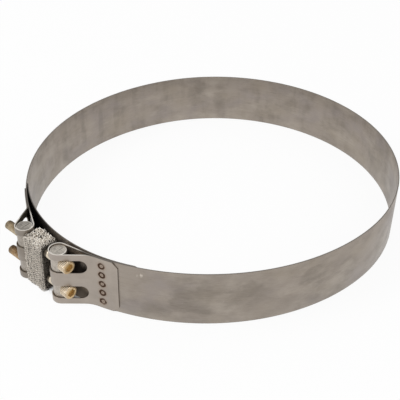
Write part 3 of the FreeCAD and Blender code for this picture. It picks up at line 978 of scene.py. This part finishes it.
def floor_white(name):
    """A pale floor that meets the white backdrop and keeps a soft shadow."""
    finish = Finish(name, roughness=0.9, metallic=0.0)
    finish.feed("Base Color", bpy.context.scene.clamp_colours.backdrop)
    path = finish.add("ShaderNodeLightPath", output="Is Camera Ray")
    glossy = finish.add("ShaderNodeLightPath", output="Is Glossy Ray")
    open_sky = finish.add("ShaderNodeAmbientOcclusion", {"samples": 8}, {"Distance": 18 * MM}, "AO")
    glow = finish.tree.nodes.new("ShaderNodeEmission")
    glow.inputs["Strength"].default_value = 1.0
    blend = finish.tree.nodes.new("ShaderNodeMixShader")
    shown = (path + glossy).above(0.0, 1.0) * open_sky.above(0.22, 0.14)
    finish.put(blend.inputs[0], shown * 0.92)
    finish.tree.links.new(finish.shader.outputs[0], blend.inputs[1])
    finish.tree.links.new(glow.outputs[0], blend.inputs[2])
    finish.tree.links.new(blend.outputs[0], finish.output.inputs["Surface"])
    return finish.material


# Strap and tongue

def slot_cutters(half):
    """Cutters for one fold's screw slots: the wrapped run, its round end and the nose, a hair slimmer."""
    sizes = bpy.context.scene.clamp_strap
    radius = sizes.slot_height / 2
    last = half.nose_reach + sizes.slot_length - radius
    stretch = half.fold.between(half.nose_reach, last)
    spot, _, normal = half.outside(last)
    reach = 2 * sizes.thickness
    cutters = []
    for level, height in SCREW_Z.items():
        name = "%s_%s_slot" % (half.side, level)
        run = strip(name + "_run", stretch, height - radius, height + radius, 3.2 * sizes.thickness)
        close_up(run)
        start = (spot - normal * reach).to_3d() + UP * height
        end = rod(name + "_end", start, normal.to_3d(), radius, 2 * reach, 48)
        middle_of_pin = half.pin.to_3d() + UP * height
        towards_nose = Vector((-half.way, 0, 0))
        nose = rod(name + "_nose", middle_of_pin, towards_nose, radius - 2 * SLIVER, 2 * PIN_RADIUS, 48)
        cutters += [run, end, nose]
    return cutters


def weld_cutters(half):
    """Shallow lenses that press the weld dishes into one tab."""
    sizes = bpy.context.scene.clamp_strap
    spot, _, normal = half.outside(half.fold.length - sizes.weld_inset)
    surface = spot + normal * (sizes.thickness / 2)
    cutters = []
    for index in range(-2, 3):
        centre = surface.to_3d() + UP * (WIDTH / 2 + index * sizes.weld_pitch)
        start_clean()
        bpy.ops.mesh.primitive_uv_sphere_add(segments=32, ring_count=16, radius=1.0, location=centre)
        lens = named("%s_weld_%d" % (half.side, index + 3))
        lens.rotation_euler = facing(normal.to_3d())
        lens.scale = (sizes.weld_radius, sizes.weld_radius, sizes.weld_depth)
        bpy.ops.object.transform_apply()
        cutters.append(lens)
    return cutters


def corner_cutters(half):
    """Four-sided prisms, set on edge, that chamfer the corners of one tab's end."""
    sizes = bpy.context.scene.clamp_strap
    spot, heading, _ = half.outside(half.fold.length)
    facing_out = half.outside(half.fold.length - sizes.tab_chamfer / 2)[2]
    spot = spot + facing_out * (1.5 * sizes.thickness - sizes.fold_gap / 2)
    across = heading.to_3d().cross(UP)
    lie = Matrix((heading.to_3d(), UP, across)).transposed().to_euler()
    cutters = []
    for level in (0, WIDTH):
        start_clean()
        bpy.ops.mesh.primitive_cylinder_add(
            vertices=4,
            radius=sizes.tab_chamfer,
            depth=4 * sizes.thickness,
            location=spot.to_3d() + UP * level,
            rotation=lie,
        )
        cutters.append(named("%s_corner" % half.side))
        bpy.ops.object.transform_apply()
    return cutters


class CLAMP_OT_strap(bpy.types.Operator):
    """Makes the strap with its folded, slotted and spot welded ends"""

    bl_idname = "clamp.strap"
    bl_label = "Strap"

    def execute(self, context):
        sizes = context.scene.clamp_strap
        left, right = Half("left"), Half("right")
        course = strap_course(left, right)
        strap = strip("strap", course, 0, WIDTH, sizes.thickness)
        close_up(strap)
        for half in (left, right):
            carve(strap, slot_cutters(half) + weld_cutters(half) + corner_cutters(half))
        soften(strap, sizes.edge_round)
        smooth(strap)
        map_along(strap, course)
        hidden = [2 * half.fold.length - half.fold.stretches[0].length for half in (left, right)]
        ends = (left.fold.length, right.fold.length, hidden, course.length)
        finished(strap, strip_steel("strap_steel", ends, STRAP_MARKS), "clamp", "strap", "band")
        return {"FINISHED"}


class CLAMP_OT_tongue(bpy.types.Operator):
    """Makes the curved strip that bridges the gap under the screws"""

    bl_idname = "clamp.tongue"
    bl_label = "Tongue"

    def execute(self, context):
        sizes = context.scene.clamp_tongue
        course = tongue_course(Half("left"), Half("right"), sizes.overlap)
        stepped = stepped_ends(course, sizes.corner)
        tongue = strip("tongue_strip", stepped, 0, WIDTH, sizes.thickness, sizes.corner)
        close_up(tongue)
        soften(tongue, context.scene.clamp_strap.edge_round)
        smooth(tongue)
        map_along(tongue, course)
        # The tongue's outside gets painted shade
        finished(tongue, strip_steel("tongue_steel", painted_shade=0.95), "clamp", "tongue", "tongue")
        return {"FINISHED"}


# Trunnions and screws

class CLAMP_OT_trunnions(bpy.types.Operator):
    """Makes both cross-drilled trunnions, with seats for the heads on the right one"""

    bl_idname = "clamp.trunnions"
    bl_label = "Trunnions"

    def execute(self, context):
        sizes = context.scene.clamp_fastener
        bores = {"left": sizes.shank_radius + 0.05 * MM, "right": sizes.shank_radius + sizes.hole_clearance}
        for side, node in PIN_NODES.items():
            low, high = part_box(node)
            pin = PIN[side]
            foot = pin.to_3d() + UP * low.z
            radius = PIN_RADIUS - sizes.pin_play
            trunnion = rod("%s_trunnion" % side, foot, UP, radius, high.z - low.z, 128)
            soften(trunnion, sizes.pin_chamfer, 60, 3)
            cutters = []
            for level, height in SCREW_Z.items():
                name = "%s_%s_bore" % (side, level)
                start = pin.to_3d() + UP * height - Vector((2 * PIN_RADIUS, 0, 0))
                cutters.append(rod(name, start, Vector((1, 0, 0)), bores[side], 4 * PIN_RADIUS))
                if side == "right":
                    seat = pin.to_3d() + UP * height + Vector((sizes.seat_offset, 0, 0))
                    spot_radius = sizes.head_radius + sizes.spotface_margin
                    cutters.append(rod(name + "_seat", seat, Vector((1, 0, 0)), spot_radius, PIN_RADIUS))
            carve(trunnion, cutters)
            soften(trunnion, 0.15 * MM, 50)
            smooth(trunnion)
            # Painted light and shade: the left trunnion's steel is darkened to 0.72 and the right one's
            # lightened to 1.25
            steel = turned_steel("%s_trunnion_steel" % side, pin, {"left": 0.72, "right": 1.25}[side])
            finished(trunnion, steel, "clamp", "trunnion", node)
        return {"FINISHED"}


def knurled_head(name, seat, sizes):
    """A straight-knurled cylinder head with a chamfered rim, standing on its seat along +X."""
    start_clean()
    bpy.ops.mesh.primitive_circle_add(
        vertices=2 * sizes.knurl_count,
        radius=sizes.head_radius,
        location=seat,
        rotation=(0, math.pi / 2, 0),
    )
    head = named(name)
    bpy.ops.object.transform_apply()
    pick(head, lambda vertex: vertex.index % 2)
    ratio = 1 - sizes.knurl_depth / sizes.head_radius
    bpy.ops.transform.resize(value=(1, ratio, ratio), center_override=seat)
    bpy.ops.mesh.select_all(action="SELECT")
    step = sizes.head_height - sizes.head_edge
    bpy.ops.mesh.extrude_region_move(TRANSFORM_OT_translate={"value": (step, 0, 0)})
    bpy.ops.mesh.extrude_region_move(TRANSFORM_OT_translate={"value": (sizes.head_edge, 0, 0)})
    ratio = 1 - sizes.head_edge / sizes.head_radius
    bpy.ops.transform.resize(value=(1, ratio, ratio), center_override=seat)
    bpy.ops.mesh.edge_face_add()
    pick(head, lambda vertex: abs(vertex.co.x - seat.x) < 0.01 * MM)
    bpy.ops.mesh.edge_face_add()
    bpy.ops.object.mode_set(mode="OBJECT")
    close_up(head)
    return head


def threaded_rod(name, tip, sizes):
    """A right-hand thread along -X that ends at the tip, cut square at both ends."""
    pitch, crest = sizes.thread_pitch, sizes.shank_radius - 2 * SLIVER
    root = sizes.shank_radius - sizes.thread_depth
    turns = math.ceil(sizes.thread_length / pitch) + 3
    # This start keeps both cuts clear of the thread's own vertices
    start = tip - Vector((1.022 * pitch, 0, 0))
    profile = [(0, root), (0.42 * pitch, crest), (0.54 * pitch, crest), (0.96 * pitch, root), (pitch, root)]
    thread = chain(name, [start + Vector((reach, 0, radius)) for reach, radius in profile])
    bpy.ops.object.mode_set(mode="OBJECT")
    bpy.context.scene.cursor.location = start
    bpy.ops.object.origin_set(type="ORIGIN_CURSOR")
    modify(
        thread, "SCREW", axis="X", screw_offset=pitch, iterations=turns, steps=36, render_steps=36,
        use_merge_vertices=True, merge_threshold=0.002 * MM,
    )
    only(thread)
    bpy.ops.object.transform_apply()
    for cut_at, side in ((tip.x, -1), (tip.x + sizes.thread_length, 1)):
        pick(thread, lambda vertex: True)
        bpy.ops.mesh.bisect(
            plane_co=(cut_at, 0, 0), plane_no=(side, 0, 0), use_fill=True, clear_outer=True, threshold=1e-7
        )
    bpy.ops.object.mode_set(mode="OBJECT")
    bpy.context.scene.cursor.location = (0, 0, 0)
    close_up(thread)
    return thread


class CLAMP_OT_screws(bpy.types.Operator):
    """Makes one knurled socket head screw and copies it for the other row"""

    bl_idname = "clamp.screws"
    bl_label = "Screws"

    def execute(self, context):
        sizes = context.scene.clamp_fastener
        axis = middle("screw_upper")
        tip = Vector((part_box("screw_upper")[0].x, axis.y, axis.z))
        seat = Vector((PIN["right"].x + sizes.seat_offset, axis.y, axis.z))
        screw = knurled_head("screw_blank", seat, sizes)
        mouth = seat + Vector((sizes.head_height - sizes.socket_depth, 0, 0))
        corner_radius = sizes.socket_flats / math.sqrt(3)
        carve(screw, [rod("key_socket", mouth, Vector((1, 0, 0)), corner_radius, sizes.head_height, 6)])
        soften(screw, 0.12 * MM, 55)
        thread = threaded_rod("thread", tip, sizes)
        room = Vector((0.3 * MM, 0, 0))
        blunt_radius = sizes.shank_radius + room.x
        blunt = rod("blunt", tip - room, room, blunt_radius, 2 * sizes.thread_length, 96)
        soften(blunt, 0.9 * MM + 2 * room.x, 60, 1)
        combine(thread, "INTERSECT", blunt)
        shank_start = tip + Vector((sizes.thread_length - 0.6 * MM, 0, 0))
        shank_length = seat.x - shank_start.x + 0.5 * MM
        shank = rod("shank", shank_start, Vector((1, 0, 0)), sizes.shank_radius, shank_length, 96)
        for part in (shank, thread):
            combine(screw, "UNION", part)
        smooth(screw, 32)
        only(screw)
        bpy.ops.object.duplicate(linked=False)
        copy = bpy.context.object
        down = SCREW_Z["lower"] - SCREW_Z["upper"]
        bpy.ops.transform.rotate(value=math.radians(23), orient_axis="X", center_override=seat)
        bpy.ops.transform.translate(value=(0, 0, down))
        bpy.ops.object.transform_apply()
        for level, piece in (("upper", screw), ("lower", copy)):
            node = "screw_%s" % level
            piece.name = piece.data.name = "%s_screw" % level
            spot = Vector((0, axis.y, SCREW_Z[level]))
            plate = zinc_plate("%s_screw_zinc" % level, spot, tip.x, seat.x, Tone.tails[level])
            finished(piece, plate, node, "screw", node)
        return {"FINISHED"}


# Knitted wire block

STRAP_ROOM = 1.3 * MM
WIRE_SEED = 7


class Wrap:
    """One layer of knitting round the block, turned in over its top."""

    corner = 3.0 * MM
    wedge = math.radians(42)
    wedge_gap = math.radians(3)

    def __init__(self, inset, top_round):
        low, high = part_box("mesh_block")
        pin, hug = PIN["left"], PIN_RADIUS + STRAP_ROOM + inset
        self.top, self.top_round = high.z - inset / 2, top_round
        east, front, back = high.x - inset, low.y + inset, high.y - inset
        corner = max(self.corner - inset, 0.8 * MM)
        tip = Vector((pin.x + math.sqrt(max(hug ** 2 - (pin.y - front) ** 2, 0)), front))
        room = min((back - corner - pin.y) / hug, 1)
        wedge = min(self.wedge, math.asin(room) - self.wedge_gap)
        nose = pin + Vector((math.cos(wedge), math.sin(wedge))) * hug
        centres = [Vector((east - corner, front + corner)), Vector((east - corner, back - corner))]
        centres.append(Vector((nose.x + corner, back - corner)))
        quarter = math.pi / 2
        stretches, here = [], tip
        for index, centre in enumerate(centres):
            bend = Bend(centre, corner, (index - 1) * quarter, quarter)
            stretches += [Run(here, bend.at(0)[0]), bend]
            here = bend.at(bend.length)[0]
        hollow = bend_between(pin, hug, nose, tip, False)
        self.course = Course(stretches + [Run(here, nose), hollow])
        self.low, self.high = Vector((low.x, front)), Vector((east, back))
        self.most_out = inset + 0.3 * MM

    def at(self, along, up, out):
        spot, heading = self.course.at(along % self.course.length)
        normal = Vector((heading.y, -heading.x, 0))
        out = min(out, self.most_out)
        over = up - (self.top - self.top_round)
        if over <= 0:
            return spot.to_3d() + UP * up + normal * out
        angle = min(over / self.top_round, math.pi / 2)
        inward = self.top_round * (1 - math.cos(angle)) + max(over - self.top_round * math.pi / 2, 0)
        height = self.top - self.top_round * (1 - math.sin(angle))
        facing_out = normal * math.cos(angle) + UP * math.sin(angle)
        base = spot.to_3d() - normal * inward
        base.x = min(base.x, self.high.x)
        base.y = min(max(base.y, self.low.y), self.high.y)
        return base + UP * height + facing_out * out


def knitted_points(wrap, low, high, seed, points_a_stitch=10):
    """The course of one long wire, knitted round and round from low to high."""
    sizes = bpy.context.scene.clamp_wire
    around = wrap.course.length
    count = round(around / sizes.stitch_width)
    width = around / count
    rows = math.ceil((high - low) / sizes.course_pitch)
    points = []
    for index in range(rows * count * points_a_stitch + 1):
        stitch = index / points_a_stitch
        phase = 2 * math.pi * stitch
        along = stitch * width + 0.22 * width * math.sin(2 * phase)
        up = low + stitch / count * sizes.course_pitch - math.cos(phase) * sizes.stitch_height / 2
        near = Vector((along % around, up, seed * 10 * MM))
        stray = noise.noise_vector(near / (2.6 * MM)) * sizes.crinkle
        lump = noise.noise(near / (6.0 * MM)) * 0.9 * MM
        out = 0.25 * MM * math.cos(2 * phase) + stray.z * 1.2 + lump
        spot = wrap.at(along + stray.x, max(up + stray.y, 0.3 * MM), out)
        points.append(spot)
    return points


SHARPEST_TURN = math.radians(100)


def unkinked(points):
    """The same wire in lengths that end wherever it would double back too sharply to bend."""
    lengths, last = [[points[0]]], None
    for here, there in zip(points, points[1:]):
        step = there - here
        if last is not None and last.angle(step, 0) > SHARPEST_TURN:
            lengths.append([here])
        lengths[-1].append(there)
        last = step
    return lengths


def wire(name, runs, radius):
    """One mesh of wires that follow runs of points."""
    start_clean()
    curve = bpy.data.curves.new(name, "CURVE")
    curve.dimensions = "3D"
    curve.bevel_depth = radius
    curve.bevel_resolution = 0
    curve.use_fill_caps = True
    for points in [length for run in runs for length in unkinked(run)]:
        spline = curve.splines.new("POLY")
        spline.points.add(len(points) - 1)
        spline.points.foreach_set("co", [part for spot in points for part in (*spot, 1.0)])
    piece = bpy.data.objects.new(name, curve)
    bpy.context.scene.collection.objects.link(piece)
    only(piece)
    bpy.ops.object.convert(target="MESH")
    piece = named(name)
    close_up(piece)
    bpy.ops.object.shade_smooth()
    return piece


def stray_ends(wrap, count, seed):
    """Short loose wires that curl up out of the block's top."""
    dice = random.Random(seed)
    runs = []
    for _ in range(count):
        along = dice.uniform(3 * MM, wrap.course.length - 6 * MM)
        up = wrap.top + dice.uniform(-3.5, 7.0) * MM
        spread = dice.uniform(0.7, 1.8) * MM
        rise = dice.uniform(0.5, 2.6) * MM
        twist = dice.uniform(0, math.pi)
        run = []
        for step in range(9):
            swing = math.pi * (step / 8 - 0.5) * dice.uniform(0.95, 1.25)
            side = spread * math.sin(swing)
            base = wrap.at(along + side * math.cos(twist), up + side * math.sin(twist), 0)
            run.append(base + UP * rise * math.cos(swing))
        runs.append(run)
    return runs


class CLAMP_OT_wire_block(bpy.types.Operator):
    """Makes the pressed block of knitted wire that the screws pass through"""

    bl_idname = "clamp.wire_block"
    bl_label = "Knitted wire block"

    def execute(self, context):
        sizes = context.scene.clamp_wire
        noise.seed_set(WIRE_SEED)
        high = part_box("mesh_block")[1]
        start_clean()
        core = bpy.data.objects["mesh_block"].copy()
        core.data = core.data.copy()
        context.scene.collection.objects.link(core)
        only(core)
        core = named("wire_core")
        core.parent = None
        close_up(core)
        pick(core, lambda vertex: True)
        tip_cut = (PIN["left"].x + PIN_RADIUS + STRAP_ROOM - 1.5 * MM, 0, 0)
        bpy.ops.mesh.bisect(plane_co=tip_cut, plane_no=(-1, 0, 0), use_fill=True, clear_outer=True)
        bpy.ops.object.mode_set(mode="OBJECT")
        modify(core, "REMESH", mode="VOXEL", voxel_size=0.7 * MM)
        grain = bpy.data.textures.new("core_lumps", "CLOUDS")
        grain.noise_scale = 2.4 * MM
        modify(core, "DISPLACE", texture=grain, strength=1.6 * MM, mid_level=1.7, texture_coords="LOCAL")
        bpy.ops.object.shade_smooth()
        # The core's wire is painted nearly black: painted shade deep among the wires
        finished(core, knitted_wire("core_wire", 0.12, 0.0), "clamp", "wire", "mesh_block")
        outer, under = Wrap(0.75 * MM, 4.2 * MM), Wrap(1.6 * MM, 3.4 * MM)
        reach = high.z + 2.5 * MM
        knit = wire("outer_knit", [knitted_points(outer, 0.9 * MM, reach, 1)], sizes.wire_radius)
        finished(knit, knitted_wire("outer_wire", 0.93), "clamp", "wire")
        runs = [knitted_points(under, 1.4 * MM, reach - 2 * MM, 2, 8)]
        for layer in range(3):
            inner = Wrap((3.4 + 1.7 * layer) * MM, 0.6 * MM)
            runs.append(knitted_points(inner, high.z - 5 * MM, high.z + 0.4 * MM, 3 + layer, 8))
            runs.append(knitted_points(inner, 0.8 * MM, 3.0 * MM, 7 + layer, 6))
        inner_knit = wire("inner_knit", runs, sizes.wire_radius * 0.95)
        # The inner layers are painted darker: painted shade under the outer wires
        finished(inner_knit, knitted_wire("inner_wire", 0.64, 0.0), "clamp", "wire")
        fuzz = wire("top_fuzz", stray_ends(outer, 130, 4), sizes.wire_radius * 1.15)
        # The loose ends on top are painted lighter: painted light
        finished(fuzz, knitted_wire("fuzz_wire", 1.1, 0.9), "clamp", "wire")
        return {"FINISHED"}


# Stage

CAMERA_PLACE = Vector((439.41, -505.48, 477.75)) * MM
CAMERA_HEADING = math.radians(42.908)
CAMERA_DOWN = math.radians(35.495)
CAMERA_ROLL = math.radians(1.536)
CAMERA_LENS = 77.1
FLOOR_SIZE = 14.0
FLOOR_LEVEL = -0.2 * MM
WORLD_LIGHT = 0.72

# Each lamp: its name, its place, its size and its power
LAMPS = [
    ("key_lamp", (-0.7, -1.1, 1.3), 0.9, 9.0),
    ("fill_lamp", (1.3, -0.4, 1.1), 1.2, 4.0),
]


def soft_lamp(name, place, size, power):
    """A round lamp that faces the origin."""
    start_clean()
    bpy.ops.object.light_add(type="AREA", location=place)
    lamp = bpy.context.object
    lamp.name = name
    lamp.data.shape = "DISK"
    lamp.data.size = size
    lamp.data.energy = power
    lamp.rotation_euler = facing(Vector(place))


class CLAMP_OT_stage(bpy.types.Operator):
    """Sets the floor, the lamps, the backdrop and the camera"""

    bl_idname = "clamp.stage"
    bl_label = "Stage"

    def execute(self, context):
        scene = context.scene
        start_clean()
        bpy.ops.mesh.primitive_plane_add(size=FLOOR_SIZE, location=(0, 0, FLOOR_LEVEL))
        floor = named("floor")
        floor.data.materials.append(floor_white("floor_white"))
        for lamp in LAMPS:
            soft_lamp(*lamp)
        world = bpy.data.worlds.new("studio")
        scene.world = world
        world.use_nodes = True
        tree = world.node_tree
        tree.nodes.clear()
        path = tree.nodes.new("ShaderNodeLightPath")
        shown = tree.nodes.new("ShaderNodeBackground")
        lit = tree.nodes.new("ShaderNodeBackground")
        shown.inputs["Color"].default_value = (1, 1, 1, 1)
        lit.inputs["Color"].default_value = (1, 1, 1, 1)
        lit.inputs["Strength"].default_value = WORLD_LIGHT
        blend = tree.nodes.new("ShaderNodeMixShader")
        output = tree.nodes.new("ShaderNodeOutputWorld")
        tree.links.new(path.outputs["Is Camera Ray"], blend.inputs[0])
        tree.links.new(lit.outputs[0], blend.inputs[1])
        tree.links.new(shown.outputs[0], blend.inputs[2])
        tree.links.new(blend.outputs[0], output.inputs["Surface"])
        start_clean()
        bpy.ops.object.camera_add()
        camera = context.object
        camera.name = "camera"
        turn_up = Matrix.Rotation(math.pi / 2 - CAMERA_DOWN, 4, "X")
        aim = Matrix.Rotation(CAMERA_HEADING, 4, "Z") @ turn_up @ Matrix.Rotation(CAMERA_ROLL, 4, "Z")
        camera.matrix_world = Matrix.Translation(CAMERA_PLACE) @ aim
        camera.data.lens = CAMERA_LENS
        camera.data.clip_start = 0.01
        scene.camera = camera
        scene.view_settings.view_transform = "Standard"
        return {"FINISHED"}


OPERATORS = [
    CLAMP_OT_strap,
    CLAMP_OT_tongue,
    CLAMP_OT_trunnions,
    CLAMP_OT_screws,
    CLAMP_OT_wire_block,
    CLAMP_OT_stage,
]


class CLAMP_PT_panel(bpy.types.Panel):
    """Lists the clamp's making steps"""

    bl_idname = "CLAMP_PT_panel"
    bl_label = "Band clamp"
    bl_space_type = "VIEW_3D"
    bl_region_type = "UI"
    bl_category = "Clamp"

    def draw(self, context):
        for operator in OPERATORS:
            self.layout.operator(operator.bl_idname)


def register():
    for group in GROUPS.values():
        bpy.utils.register_class(group)
    for name, group in GROUPS.items():
        setattr(bpy.types.Scene, name, bpy.props.PointerProperty(type=group))
    for item in OPERATORS + [CLAMP_PT_panel]:
        bpy.utils.register_class(item)


def unregister():
    for item in reversed(OPERATORS + [CLAMP_PT_panel]):
        bpy.utils.unregister_class(item)
    for name, group in reversed(GROUPS.items()):
        delattr(bpy.types.Scene, name)
        bpy.utils.unregister_class(group)


def main():
    register()
    for operator in OPERATORS:
        group, name = operator.bl_idname.split(".")
        getattr(getattr(bpy.ops, group), name)()


if __name__ == "__main__":
    main()
